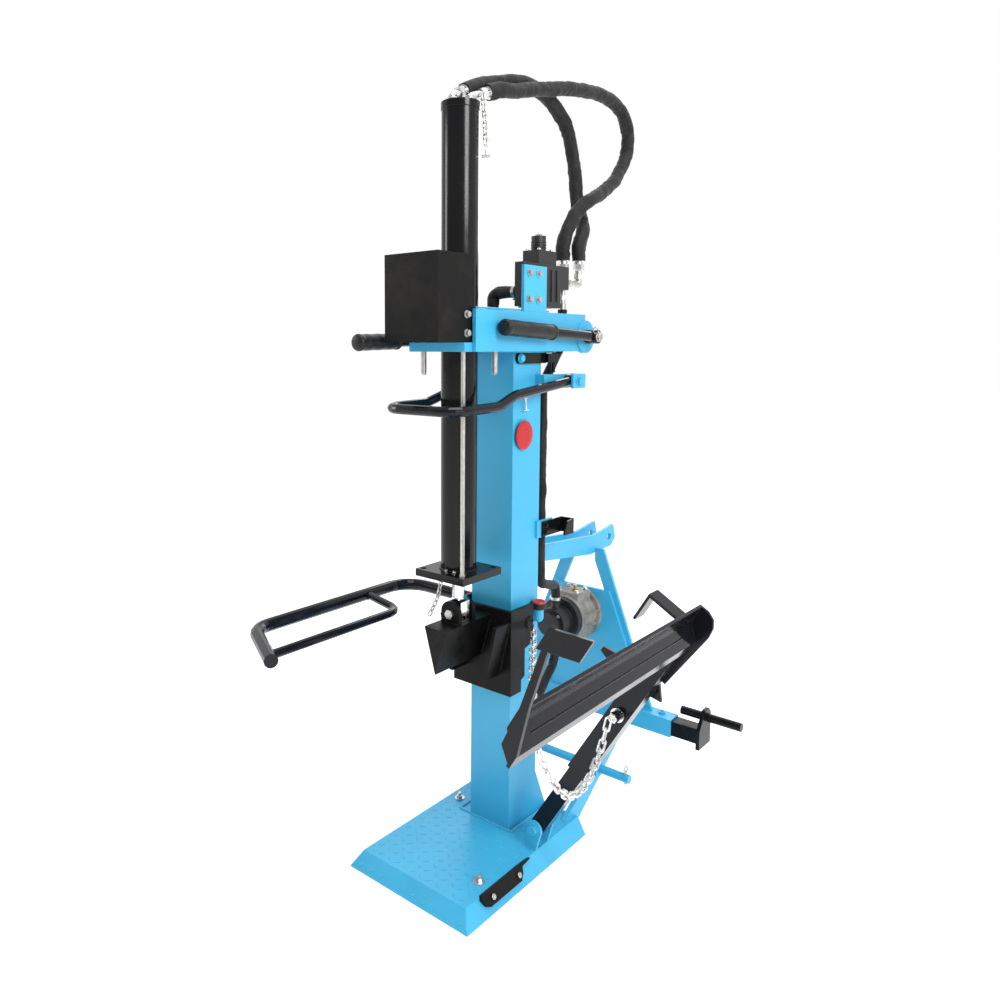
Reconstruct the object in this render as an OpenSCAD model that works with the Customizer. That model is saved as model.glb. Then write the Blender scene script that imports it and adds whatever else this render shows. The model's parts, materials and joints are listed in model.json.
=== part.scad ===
/* [Base] */
// Width of the base plate across the machine
base_w = 450; // [400:10:520]
// Depth of the base plate, front to back
base_d = 608; // [600:4:640]
// Height of the base plate
base_h = 50; // [44:1:56]
// Width of the sloping rim of the base plate
base_rim = 30; // [20:1:32]

/* [Column] */
// Width of the square column, which is also the oil tank
col_w = 150; // [146:1:152]
// Depth of the column, front to back
col_d = 145; // [140:1:148]
// Distance from the machine's middle to the column's front face
col_y = 90; // [88:1:92]
// Wall thickness of the column
col_wall = 6; // [4:1:8]

/* [Head] */
// Height of the head plate's underside above the floor
head_z = 1540; // [1535:1:1550]
// Thickness of the head plate
head_t = 25; // [20:1:28]
// Thickness of the two cheek plates
cheek_t = 12; // [8:1:12]
// Height of the cheek plates
cheek_h = 116; // [112:1:118]

/* [Cylinder] */
// Distance of the cylinder's axis in front of the machine's middle
cyl_y = 70; // [68:1:72]
// Outer diameter of the cylinder barrel
barrel_d = 105; // [100:1:106]
// Inner diameter of the cylinder barrel
bore_d = 90; // [80:1:92]
// Diameter of the piston rod
rod_d = 36; // [30:1:40]
// Length of the barrel
barrel_l = 1294; // [1280:2:1296]
// Side of the square flange at the foot of the barrel
flange_w = 178; // [176:1:180]
// Thickness of the flange
flange_t = 21; // [18:1:22]
// Distance of each flange hole from the cylinder's axis, along x and y
stud_a = 72; // [71:1:74]

/* [Wedge] */
// Width of the wedge across its top
wedge_w = 80; // [60:1:84]
// Height of the wedge
wedge_h = 136; // [120:1:140]
// Width of the carriage that carries the wedge on the column
carr_w = 218; // [214:1:220]

/* [Log lifter] */
// Slope of the lifting arm above the floor, in degrees
lift_a = 59; // [57:0.5:60]
// Length of the lifting arm from its pivot to the cradle
lift_l = 800; // [780:5:805]
// Length of the cradle, front to back
cradle_l = 840; // [820:5:845]

/* [Tractor hitch] */
// Diameter of the hitch pins
pin_d = 28; // [22:1:28]
// Distance of the crossbeam behind the machine's middle
beam_y = 650; // [645:1:655]
// Length of the crossbeam
beam_l = 712; // [700:2:720]

/* [Hidden] */

BLUE = [0.16, 0.55, 0.80];
BLACK = [0.06, 0.06, 0.065];
STEEL = [0.72, 0.72, 0.72];
CAST = [0.45, 0.45, 0.44];
e = 0.01;
$fn = 48;

// heights that follow from the driving sizes
top_z = head_z + head_t;
flange_z = 890;
barrel_z = flange_z + flange_t;
barrel_top = barrel_z + barrel_l;
rear_y = col_y + col_d;
cheek_x = 100;
cheek_front = -138;
cheek_rear = 430;
box_w = 190;
box_front = -276;
box_rear = -125;
box_h = 235;
// centre of the wedge edge and of the carriage
wedge_z = 617;
wedge_top = wedge_z + wedge_h;
wedge_front = -175;
carr_front = 44;
carr_t = 12;
carr_z = 510;
carr_h = 260;
// pivots
lift_x = 185;
lift_z = 112;
lift_y = 100;
lug_s = 512;
shackle_y = -624;
hoop_y = 330;
hoop_z = 1448;
hoop_x = 125;
// the control levers: height of their pivots, and reach and rise of the two
lever_pivot_z = 1586;
right_front = -40;
right_rise = 21;
left_front = -330;
left_rise = -21;
link_y = 113;
link_z = 1520;
gear_z = 612;
beam_z = 280;
// inner faces of the two mast bars, their thickness, and where the struts start beside them
mast_x = 32;
mast_t = 12;
strut_x = mast_x + mast_t + e;
breather_x = 10;
breather_y = beam_y - 78;
filler_x = col_w / 2 + 24;
filler_y = 205;
filler_z = 715;
log_arm_y = 195;
log_arm_z = 725;
// where the two bolts of the base stand
BASE_BOLTS = [[-155, 132], [151, -158]];
// height of the guard's bolts over the head plate, and their place along y
GUARD_BOLTS = [25, 75];
guard_bolt_y = -158;
// tube sizes
hoop_r = 14.5;
arm_r = 20;
guard_r = 13;
hose_r = 20;
// foot of the stop rod, where it is screwed into the flange
stop_rod_r = 7.95;
// where the two cylinder hoses stand on the valve
LIFT_PORT = [58, 378];
SPLIT_PORT = [88, 422];

// hand-chosen routes of the two cylinder hoses, from the valve up and over to the barrel's cap
HOSE_LIFT = [[58, 378, 1826], [58, 378, 1870], [62, 392, 1920], [72, 426, 1975], [82, 488, 2022],
    [78, 570, 2058], [68, 650, 2097], [56, 730, 2150], [50, 790, 2220], [50, 800, 2290], [50, 770, 2345],
    [50, 700, 2378], [50, 610, 2385], [50, 520, 2378], [50, 420, 2362], [50, 320, 2340], [50, 220, 2315],
    [50, 130, 2290], [54, 45, 2272], [42, 0, 2257]];
HOSE_SPLIT = [[88, 422, 1826], [88, 422, 1870], [84, 450, 1915], [62, 484, 1955], [34, 502, 2008],
    [22, 508, 2060], [16, 508, 2120], [14, 495, 2180], [12, 470, 2240], [8, 430, 2290], [2, 380, 2325],
    [-2, 320, 2345], [-5, 250, 2350], [-6, 180, 2340], [-6, 110, 2320], [-5, 40, 2300], [-5, -20, 2276],
    [-5, -50, 2261]];

// a plane polygon in y and z, made solid along x
module slab_x(x, t, pts) {
    translate([x, 0, 0]) rotate([90, 0, 90]) linear_extrude(t) polygon(pts);
}

// a plane polygon in x and z, made solid along +y
module slab_y(y, t, pts) {
    translate([0, y + t, 0]) rotate([90, 0, 0]) linear_extrude(t) polygon(pts);
}

module box(a, b) {
    translate(a) cube(b - a);
}

// cylinders along the three axes, from a starting point
module rod_x(p, l, r) {
    translate(p) rotate([0, 90, 0]) cylinder(h = l, r = r);
}

module rod_y(p, l, r) {
    translate(p) rotate([-90, 0, 0]) cylinder(h = l, r = r);
}

module rod_z(p, l, r) {
    translate(p) cylinder(h = l, r = r);
}

// hexagon bolt head or nut along +z, with a washer under it
module hex_head(s, h) {
    cylinder(h = h * 0.25, r = s * 0.72);
    translate([0, 0, h * 0.2]) cylinder(h = h * 0.8, r = s * 0.577, $fn = 6);
}

module mirror_x() {
    children();
    mirror([1, 0, 0]) children();
}

function last(p) = p[len(p) - 1];
function unit(v) = v / norm(v);

// a straight tube between two points
module strut(a, b, r) {
    d = b - a;
    l = norm(d);
    translate(a) rotate([0, acos(d[2] / l), atan2(d[1], d[0])]) cylinder(h = l, r = r);
}

// points of a route whose corners are rounded to radius b, a step every 15 degrees or less
function rounded(p, b) = [
    p[0],
    for (i = [1:len(p) - 2]) let (
        u = unit(p[i] - p[i - 1]),
        v = unit(p[i + 1] - p[i]),
        a = acos(u * v),
        w = unit(v - u * (u * v)),
        start = p[i] - u * b * tan(a / 2),
        m = ceil(a / 15)
    ) for (k = [0:m]) start + b * (u * sin(a * k / m) + w * (1 - cos(a * k / m))),
    p[len(p) - 1]
];

// a tube with m sides swept along a route
module hose(p, r, m = 8) {
    n = len(p);
    tang = [for (i = [0:n - 1]) unit(p[min(i + 1, n - 1)] - p[max(i - 1, 0)])];
    first = unit(cross(tang[0], abs(tang[0][2]) > 0.8 ? [1, 0, 0] : [0, 0, 1]));
    // each ring's first direction, carried along without twist
    side = [for (i = 0, v = first; i < n; i = i + 1,
        v = i < n ? unit(v - tang[i] * (v * tang[i])) : v) v];
    pts = [for (i = [0:n - 1]) for (k = [0:m - 1])
        p[i] + r * (cos(k * 360 / m) * side[i] + sin(k * 360 / m) * cross(tang[i], side[i]))];
    faces = [for (i = [0:n - 2]) for (k = [0:m - 1]) for (h = [0, 1])
        h == 0 ? [(i + 1) * m + (k + 1) % m, i * m + (k + 1) % m, i * m + k]
            : [(i + 1) * m + k, (i + 1) * m + (k + 1) % m, i * m + k]];
    last = (n - 1) * m;
    polyhedron(pts, concat(faces, [[for (k = [0:m - 1]) k]], [[for (k = [m - 1:-1:0]) last + k]]));
}

// a bent steel tube
module bent_tube(p, b, r) {
    hose(rounded(p, b), r, 12);
}

// one chain link: a torus-ended loop of wire, long along z, flat in x
module link(l, w, r) {
    s = l / 2 - w / 2;
    for (m = [0, 1]) mirror([0, 0, m]) {
        translate([0, 0, s]) rotate([90, 0, 0]) rotate_extrude(angle = 180, $fn = 24)
            translate([w / 2 - r, 0]) circle(r = r, $fn = 16);
        mirror_x() rod_z([w / 2 - r, 0, 0], s, r, $fn = 16);
    }
}

// -- base -----------------------------------------------------------------------------------------

module base_plate() color(BLUE) {
    w = base_w / 2;
    d = base_d / 2;
    i = base_rim;
    difference() {
        intersection() {
            slab_y(-d, base_d, [[-w, 0], [w, 0], [w - i, base_h], [i - w, base_h]]);
            slab_x(-w, base_w, [[-d, 0], [d, 0], [d, base_h], [i - d, base_h]]);
        }
        for (p = BASE_BOLTS) rod_z([p[0], p[1], -e], base_h + 1, 6.5);
    }
}

module base_bolts() color(STEEL) {
    for (p = BASE_BOLTS) {
        translate([p[0], p[1], base_h + 0.02]) hex_head(18, 12);
        rod_z([p[0], p[1], 8], base_h - 6, 6);
    }
}

// toothed claw that keeps the log from sliding off the right rim
module base_claw() color(BLACK) {
    slope = atan2(base_rim, base_h);
    translate([base_w / 2, 0, 0]) rotate([0, -slope, 0]) {
        slab_x(0.05, 11, [[-218, 50], [-208, 30], [-194, 22], [-48, 22], [-32, 36], [-24, 52],
            [18, 56], [16, 60], [-26, 62], [-212, 62]]);
        for (y = [-176, -52]) translate([11, y, 40]) rotate([0, 90, 0]) cylinder(h = 3, r = 8);
    }
}

module column() color(BLUE) {
    w = col_w / 2;
    difference() {
        box([-w, col_y, base_h + 0.02], [w, rear_y, head_z - 0.02]);
        box([col_wall - w, col_y + col_wall, base_h + 8], [w - col_wall, rear_y - col_wall, head_z - 8]);
        rod_x([w - 10, filler_y, filler_z], 20, 16);
        rod_y([48, rear_y - 10, 258], 20, 12);
        rod_z([-20, 115, head_z - 12], 20, 9);
    }
    // hinge of the log arm on the left side
    for (z = [log_arm_z - 76, log_arm_z + 62]) box([-118, 178, z], [-w - 0.02, 212, z + 14]);
    rod_z([-101, log_arm_y, log_arm_z - 76], 152, 12);
    // tab for the drive-shaft rest
    box([w + 0.02, 215, 960], [w + 8, 300, 1014]);
    // foot gussets behind the column
    for (x = [-w, w - 10])
        slab_x(x, 10, [[rear_y + 0.02, base_h + 0.02], [297, base_h + 0.02], [rear_y + 0.02, 190]]);
}

// -- head -----------------------------------------------------------------------------------------

module head_plate() color(BLUE) {
    difference() {
        box([-cheek_x, -172, head_z], [cheek_x, rear_y, top_z]);
        rod_z([0, -cyl_y, head_z - 1], head_t + 2, barrel_d / 2 + 2.5);
        rod_z([stud_a, -cyl_y - stud_a, head_z - 1], head_t + 2, 9);
        for (p = [[-1, -1], [1, 1], [-1, 1]])
            rod_z([p[0] * stud_a, p[1] * stud_a - cyl_y, head_z - 1], head_t + 2, 8);
        rod_z([-20, 115, head_z - 1], head_t + 2, 11);
    }
    // tabs that the guard is bolted to
    mirror_x() difference() {
        box([84, guard_bolt_y - 14, top_z - e], [92, guard_bolt_y + 14, top_z + 96]);
        for (z = GUARD_BOLTS) rod_x([80, guard_bolt_y, top_z + z], 16, 5.5);
    }
}

// one cheek plate, on the right side
module cheek() {
    r = 30;
    difference() {
        union() {
            box([cheek_x + 0.02, cheek_front, head_z], [cheek_x + cheek_t, cheek_rear, head_z + cheek_h]);
            rod_x([cheek_x + 0.02, cheek_rear, lever_pivot_z], cheek_t + 4, r + 22);
        }
        rod_x([cheek_x - 1, cheek_rear, lever_pivot_z], 30, 8);
    }
}

module right_cheek() color(BLUE) cheek();

module left_cheek() color(BLUE) mirror([1, 0, 0]) cheek();

module guard_box() color(BLACK) {
    w = box_w / 2;
    t = 3;
    difference() {
        box([-w, box_front, top_z + 0.02], [w, box_rear, top_z + box_h]);
        box([t - w, box_front + t, top_z - 1], [w - t, box_rear - t, top_z + box_h + 1]);
        for (z = GUARD_BOLTS) rod_x([-w - 5, guard_bolt_y, top_z + z], box_w + 10, 5.5);
    }
}

module guard_bolts() mirror_x() {
    for (z = GUARD_BOLTS) translate([0, guard_bolt_y, top_z + z]) rotate([0, 90, 0]) {
        translate([0, 0, box_w / 2 + 0.02]) hex_head(15, 11);
        translate([0, 0, 78]) cylinder(h = 18, r = 5);
        translate([0, 0, 76]) cylinder(h = 7.9, r = 7.5, $fn = 6);
    }
}

module lock_studs() color(STEEL) for (p = [[-1, -1], [1, 1], [-1, 1]])
    translate([p[0] * stud_a, p[1] * stud_a - cyl_y, 0]) {
        rod_z([0, 0, head_z - 60], 60 + head_t + 22, 7.95);
        translate([0, 0, top_z + 0.02]) cylinder(h = 14, r = 10.2, $fn = 6);
        translate([0, 0, head_z - 66]) cylinder(h = 6.01, r1 = 5, r2 = 7.95);
    }

module valve_plate() color(BLUE) difference() {
    box([cheek_x + 1, 88, head_z + cheek_h + 0.02], [cheek_x + 11, 205, 1790]);
    for (y = [112, 160]) for (z = [1692, 1768]) rod_x([cheek_x - 5, y, z], 20, 5.2);
}

module valve_bolts() for (y = [112, 160]) for (z = [1692, 1768]) {
    translate([cheek_x + 11.02, y, z]) rotate([0, 90, 0]) hex_head(16, 11);
    rod_x([cheek_x - 20, y, z], 32, 5);
}

// bolts of the guard and of the valve plate
module head_bolts() color(STEEL) {
    guard_bolts();
    valve_bolts();
    mirror_x() lever_pin();
}

module valve_block() color(BLACK) {
    difference() {
        union() {
            box([70, 98, 1672], [cheek_x, 205, 1800]);
            box([26, 180, 1672], [cheek_x, 300, 1800]);
            box([34, 190, 1799], [92, 285, 1842]);
            rod_z([60, 235, 1841], 46, 22);
            rod_z([44, 252, 1640], 34, 24);
            box([26, 299, 1730], [cheek_x, 346, 1800]);
        }
        for (y = [112, 160]) for (z = [1692, 1768]) rod_x([cheek_x - 20, y, z], 30, 5.1);
        rod_z([44, 252, 1600], 160, 10.05);
    }
}

module valve_spool() color(STEEL) {
    rod_z([44, 252, 1500], 226, 10);
    rod_x([44, 252, 1512], 31.6, 6);
}

// two work ports with elbows, a pressure gauge tee and their nuts
module valve_fittings() color(STEEL) {
    for (p = [LIFT_PORT, SPLIT_PORT]) {
        rod_z([p[0], p[1], 1748], 60, 11);
        translate([p[0], p[1], 1768]) cylinder(h = 18, r = 15, $fn = 6);
        translate([p[0], p[1], 1800]) cylinder(h = 26, r = 14);
    }
    rod_y([LIFT_PORT[0], 346.05, 1760], LIFT_PORT[1] - 346, 10.5);
    rod_y([SPLIT_PORT[0], 346.05, 1752], SPLIT_PORT[1] - 346, 10);
    translate([SPLIT_PORT[0], 352, 1752]) rotate([-90, 0, 0]) cylinder(h = 16, r = 13, $fn = 6);
    rod_z([LIFT_PORT[0], LIFT_PORT[1], 1690], 64, 9);
    translate([LIFT_PORT[0], LIFT_PORT[1], 1700]) cylinder(h = 18, r = 14, $fn = 6);
    rod_z([LIFT_PORT[0], LIFT_PORT[1], 1672], 19, 12);
}

// return pipe from the valve into the tank's top
module return_pipe() color(BLUE) rod_z([-20, 115, head_z - 11], 126, 8.95);

module return_hose() color(BLACK)
    bent_tube([[-20, 115, 1655.1], [-20, 115, 1715], [69.9, 115, 1715]], 24, 16);

// flat link between the hoop lever and the valve, pivoted on the column's side
module lever_link() color(BLACK) {
    x = col_w / 2 + 1;
    difference() {
        union() {
            box([x, link_y, link_z - 16], [x + 8, 250, link_z + 16]);
            rod_x([x, link_y, link_z], 8, 16);
            box([x, 240, link_z - 14], [x + 22, 296, link_z + 14]);
        }
        rod_x([x - 1, link_y, link_z], 12, 6.05);
    }
    rod_z([x + 12, 284, link_z - 44], 31, 6);
}

// clevis brackets for the hoop on the column's two sides, with the pivot bolt of the lever link
module hoop_brackets() color(BLUE) {
    w = col_w / 2;
    mirror_x() {
        difference() {
            union() {
                box([w + 0.02, 205, hoop_z - 22], [w + 32, rear_y - 2, hoop_z + 22]);
                box([w + 24, 215, hoop_z - 22], [w + 32, 372, hoop_z + 22]);
                box([w + 68, 300, hoop_z - 22], [w + 76, 372, hoop_z + 22]);
                box([w + 24, 364, hoop_z - 22], [w + 76, 372, hoop_z + 22]);
            }
            rod_x([w + 10, hoop_y, hoop_z], 80, 7);
        }
        rod_x([w + 22, hoop_y, hoop_z], 58, 6.95);
        translate([w + 76.02, hoop_y, hoop_z]) rotate([0, 90, 0]) hex_head(20, 11);
    }
    rod_x([w + 0.02, link_y, link_z], 12, 6);
    translate([w + 9.5, link_y, link_z]) rotate([0, 90, 0]) hex_head(20, 9);
}

// the two-handed hoop that runs round the cylinder
module hoop_lever() color(BLACK) {
    w = hoop_x;
    front = w + 7;
    bent_tube([[w, 316, 1446], [w, 30, 1416], [front, -60, 1388], [front, -245, 1382], [-front, -245, 1382],
        [-front, -60, 1388], [-w, 30, 1416], [-w, 316, 1446]], 60, hoop_r);
    mirror_x() difference() {
        rod_x([w - 16, hoop_y, hoop_z], 32, 20);
        rod_x([w - 20, hoop_y, hoop_z], 40, 7.0);
    }
}

// -- control levers -------------------------------------------------------------------------------

// front end of a control lever, from how far it reaches and how much higher than its pivot it ends
function lever_end(front, rise) = [cheek_x + cheek_t + 28, front, lever_pivot_z + rise];

module lever(front, rise) {
    x = cheek_x + cheek_t + 28;
    z = lever_pivot_z;
    a = [x, cheek_rear, z];
    b = lever_end(front, rise);
    difference() {
        union() {
            strut(a + 14 * unit(b - a), b, 16);
            rod_x([x - 20, cheek_rear, z], 40, 22);
        }
        rod_x([x - 40, cheek_rear, z], 80, 8.05);
    }
}

module lever_pin() {
    x = cheek_x - 6;
    rod_x([x, cheek_rear, lever_pivot_z], cheek_t + 66, 8 - e);
}

module grip(front, rise, l) {
    b = lever_end(front, rise);
    d = unit(b - [b[0], cheek_rear, lever_pivot_z]);
    difference() {
        strut(b - d * l, b + d * 12, 24);
        strut(b - d * (l + 5), b + d * 0.02, 16.02);
    }
}

module right_lever() color(BLACK) lever(right_front, right_rise);

module right_grip() color(BLACK) grip(right_front, right_rise, 235);

module left_lever() color(BLACK) mirror([1, 0, 0]) lever(left_front, left_rise);

module left_grip() color(BLACK) mirror([1, 0, 0]) grip(left_front, left_rise, 150);

// -- tractor hitch --------------------------------------------------------------------------------

// upper hitch: two bars back from the column, ears for the top link and two sloping struts
module mast() color(BLUE) {
    mirror_x() difference() {
        slab_x(mast_x, mast_t, [[rear_y + 0.02, 870], [610, 826], [760, 832], [790, 858],
            [775, 908], [640, 890], [rear_y + 0.02, 922]]);
        rod_x([mast_x - 4, 745, 868], 20, 12.7);
    }
    box([e - mast_x, 600, 842], [mast_x - e, 640, 862]);
    mirror_x() slab_y(beam_y - 5, 12, [[strut_x, 842], [strut_x + 32, 842],
        [276, beam_z + 30.02], [238, beam_z + 30.02], [strut_x, 798]]);
}

module crossbeam() color(BLUE) {
    difference() {
        box([-beam_l / 2, beam_y - 30, beam_z - 30], [beam_l / 2, beam_y + 30, beam_z + 30]);
        box([-beam_l / 2 - 1, beam_y - 25.05, beam_z - 25.05],
            [beam_l / 2 + 1, beam_y + 25.05, beam_z + 25.05]);
        mirror_x() rod_z([beam_l / 2 - 45, beam_y, beam_z], 50, 6.05);
    }
    mirror_x() translate([beam_l / 2 - 45, beam_y, beam_z + 30 - e]) {
        difference() {
            cylinder(h = 9, r = 12, $fn = 6);
            translate([0, 0, -1]) cylinder(h = 12, r = 6.05);
        }
    }
}

// adjustable end of the crossbeam, with its hitch pin
module beam_insert() {
    x = beam_l / 2;
    box([x - 130, beam_y - 24.8, beam_z - 24.8], [x + 96, beam_y + 24.8, beam_z + 24.8]);
    slab_x(x + 96, 12, [[beam_y - 50, beam_z - 32], [beam_y + 40, beam_z - 32], [beam_y + 40, beam_z + 70],
        [beam_y + 25, beam_z + 88], [beam_y - 5, beam_z + 88], [beam_y - 50, beam_z + 30]]);
    rod_x([x + 20, beam_y + 12, beam_z + 60], 200, pin_d / 2);
}

module beam_insert_right() color(BLACK) beam_insert();

module beam_insert_left() color(BLACK) mirror([1, 0, 0]) beam_insert();

// sloping legs from the base to the crossbeam, with eyes for the lower shaft
module rear_legs() color(BLUE) mirror_x() difference() {
    union() {
        slab_x(164, 16, [[250, base_h + 0.02], [base_d / 2 + 0.02, base_h + 0.02], [base_d / 2 + 0.02, 12],
            [316, 12], [beam_y + 28, beam_z - 30.02], [beam_y - 40, beam_z - 30.02]]);
        rod_x([160, 455, 148], 28, 26);
    }
    rod_x([150, 455, 148], 50, pin_d / 2 + 0.05);
}

module hitch_shaft() color(BLUE) difference() {
    rod_x([-296, 455, 148], 592, pin_d / 2);
    for (x = [-282, 282]) rod_z([x, 455, 120], 60, 4.55);
}

module linch_pins() color(STEEL) for (x = [-282, 282]) {
    rod_z([x, 455, 128], 44, 4.5);
    translate([x, 455, 178]) rotate([0, 90, 0]) rotate_extrude() translate([11, 0]) circle(r = 2.2, $fn = 16);
}

// -- gearbox and pump -----------------------------------------------------------------------------

module gearbox_plate() color(BLUE) difference() {
    slab_y(beam_y - 17, 11.9, [[-108, 700], [108, 700], [200, 470], [250, beam_z + 30.02],
        [-250, beam_z + 30.02], [-200, 470]]);
    rod_y([0, beam_y - 20, gear_z], 30, 45);
    for (a = [45:90:315]) rod_y([62 * cos(a), beam_y - 20, gear_z + 62 * sin(a)], 30, 5.5);
}

module gearbox() color(CAST) {
    y = beam_y - 17.02;
    difference() {
        union() {
            rod_y([0, y - 14, gear_z], 14, 84);
            rod_y([0, y - 100, gear_z], 90, 68);
            rod_y([0, y - 118, gear_z], 22, 76);
            box([-46, y - 104, gear_z + 20], [46, y - 20, gear_z + 88]);
            for (s = [-1, 1]) box([s * 52 - 8, y - 112, gear_z - 70], [s * 52 + 8, y - 4, gear_z - 20]);
        }
        rod_y([0, y - 30, gear_z], 60, 30.05);
        rod_y([0, y - 125, gear_z], 140, 17.6);
        for (a = [45:90:315]) rod_y([62 * cos(a), y - 30, gear_z + 62 * sin(a)], 40, 5);
        rod_z([breather_x, breather_y, gear_z + 70], 40, 8);
    }
}

module pump() color(BLACK) {
    y = beam_y - 135.04;
    rod_y([0, y - 24, gear_z], 24, 74);
    rod_y([0, y - 84, gear_z], 62, 52);
    rod_y([0, y - 104, gear_z], 22, 40);
    rod_z([0, y - 54, gear_z + 40], 30, 14);
    rod_z([0, y - 54, gear_z - 72], 32, 17);
}

module gearbox_bolts() color(STEEL) {
    y = beam_y - 17.02;
    for (x = [-34, 34]) for (d = [92, 34]) translate([x, y - d, gear_z + 88.02]) hex_head(13, 9);
    for (a = [45:90:315]) {
        rod_y([62 * cos(a), y - 14, gear_z + 62 * sin(a)], 28, 4.95);
        translate([62 * cos(a), beam_y - 5.08, gear_z + 62 * sin(a)]) rotate([-90, 0, 0]) hex_head(15, 10);
    }
}

module pto_shaft() color(STEEL) difference() {
    union() {
        rod_y([0, beam_y - 130, gear_z], 185, 17.5);
        for (a = [0:60:300]) translate([0, beam_y + 10, gear_z]) rotate([0, a, 0])
            box([-3.5, 0, 10], [3.5, 44, 19.5]);
        rod_y([0, beam_y - 46, gear_z], 30, 30);
    }
    translate([0, beam_y + 40, gear_z]) rotate([-90, 0, 0])
        rotate_extrude() translate([21.5, 0]) circle(r = 4.5, $fn = 24);
}

module breather() color("goldenrod") {
    translate([breather_x, breather_y, gear_z]) {
        rod_z([0, 0, 72], 24, 7.9);
        translate([0, 0, 88.1]) cylinder(h = 8, r = 12, $fn = 6);
        rod_z([0, 0, 95], 12, 7);
    }
}

// bracket on the column's back that carries the drive shaft when the machine is unhitched
module pto_rest() color(BLACK) {
    x = col_w / 2 + 8.04;
    box([x, 238, 962], [x + 6, 352, 1010]);
    box([x, 346, 962], [x + 48, 352, 1010]);
    slab_x(x + 42, 6, [[352, 962], [352, 1010], [318, 1004], [300, 975], [300, 962]]);
    for (z = [974, 998]) translate([x + 6, 252, z]) rotate([0, 90, 0]) hex_head(12, 8);
}

module filler_neck() color(BLUE) {
    rod_x([col_w / 2 - 8, filler_y, filler_z], 32, 15.9);
    translate([filler_x, filler_y, filler_z]) sphere(r = 15.9);
    rod_z([filler_x, filler_y, filler_z], 40, 15.9);
}

module filler_cap() color([0.75, 0.08, 0.08]) difference() {
    rod_z([filler_x, filler_y, filler_z + 27], 26, 23);
    rod_z([filler_x, filler_y, filler_z + 26], 14.02, 15.95);
}

// elbow at the tank's foot, pump suction
module suction_elbow() color(STEEL) {
    rod_y([48, rear_y - 9, 258], 39, 11.9);
    translate([48, rear_y + 8, 258]) rotate([-90, 0, 0]) cylinder(h = 14, r = 19, $fn = 6);
    translate([48, rear_y + 30, 258]) sphere(r = 14);
    rod_z([48, rear_y + 30, 258], 30, 14);
}

module suction_hose() color(BLACK)
    bent_tube([[48, rear_y + 30, 288.1], [48, rear_y + 30, 400], [0, 461, 470], [0, 461, 539.9]], 55, 15);

module pressure_hose() color(BLACK)
    bent_tube([[0, 461, 682.1], [0, 461, 740], [60, 270, 800], [60, 270, 1440],
        [LIFT_PORT[0], LIFT_PORT[1], 1560], [LIFT_PORT[0], LIFT_PORT[1], 1671.9]], 42, 14.8);

// -- cylinder -------------------------------------------------------------------------------------

module barrel() color(BLACK) difference() {
    union() {
        rod_z([0, -cyl_y, barrel_z - 5], barrel_l + 5, barrel_d / 2);
        difference() {
            box([-flange_w / 2, -cyl_y - flange_w / 2, flange_z],
                [flange_w / 2, flange_w / 2 - cyl_y, barrel_z]);
            for (p = [[-1, -1], [1, 1], [-1, 1]])
                rod_z([p[0] * stud_a, p[1] * stud_a - cyl_y, flange_z - 1], flange_t + 2, 9);
            rod_z([stud_a, -cyl_y - stud_a, flange_z - 1], flange_t + 2, stop_rod_r + 0.02);
        }
    }
    rod_z([0, -cyl_y, flange_z - 1], barrel_l + 40, bore_d / 2);
}

module barrel_cap() color(BLACK) difference() {
    union() {
        rod_z([0, -cyl_y, barrel_top + 0.02], 18, barrel_d / 2 + 2);
        rod_z([0, -cyl_y, barrel_top - 20], 20.1, bore_d / 2 - 0.02);
    }
    for (p = [[-5, -28], [26, 10]]) rod_z([p[0], p[1] - cyl_y, barrel_top - 21], 50, 10);
}

module gland() color(STEEL) difference() {
    rod_z([0, -cyl_y, flange_z + 2], 60, bore_d / 2 - 0.02);
    rod_z([0, -cyl_y, flange_z], 70, rod_d / 2 + 0.06);
}

module piston() color(STEEL) difference() {
    rod_z([0, -cyl_y, barrel_top - 70], 45, bore_d / 2 - 0.08);
    rod_z([0, -cyl_y, barrel_top - 71], 38, 14.02);
}

module piston_rod() color(STEEL) {
    rod_z([0, -cyl_y, 812], barrel_top - 70 - 812.02, rod_d / 2);
    rod_z([0, -cyl_y, barrel_top - 71], 37, 14);
    difference() {
        intersection() {
            box([-26, -cyl_y - 20, wedge_top + 1], [26, 20 - cyl_y, 824]);
            rod_y([0, -cyl_y - 30, 784], 60, 40);
        }
        rod_y([0, -cyl_y - 40, 780], 80, 11.05);
    }
}

// rod on the flange's front corner that rises with the barrel and ends the stroke
module stop_rod() color(STEEL) {
    rod_z([stud_a, -cyl_y - stud_a, flange_z + 0.5], 748, 6.2);
    rod_z([stud_a, -cyl_y - stud_a, flange_z + 0.5], flange_t + 8, stop_rod_r);
}

// the elbows on the cap, each turned towards the end of its hose
module port_elbows() color(STEEL)
    for (port = [[[-5, -98], last(HOSE_SPLIT)], [[26, -60], last(HOSE_LIFT)]]) {
        x = port[0][0];
        y = port[0][1];
        corner = [x, y, barrel_top + 32];
        rod_z([x, y, barrel_top - 15], 46, 9.95);
        translate([x, y, barrel_top + 18.1]) cylinder(h = 14, r = 15, $fn = 6);
        translate(corner) sphere(r = 13);
        strut(corner, port[1] - e * unit(port[1] - corner), 12);
    }

module hose_lift() color(BLACK) hose(HOSE_LIFT, hose_r);

module hose_split() color(BLACK) hose(HOSE_SPLIT, hose_r);

module clevis_pin() color(STEEL) {
    rod_y([0, -cyl_y - 46, 780], 92, 11);
    for (m = [0, 1]) translate([0, -cyl_y, 0]) mirror([0, m, 0]) translate([0, 38.1, 780])
        rotate([-90, 0, 0]) cylinder(h = 8, r = 15, $fn = 6);
}

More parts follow.
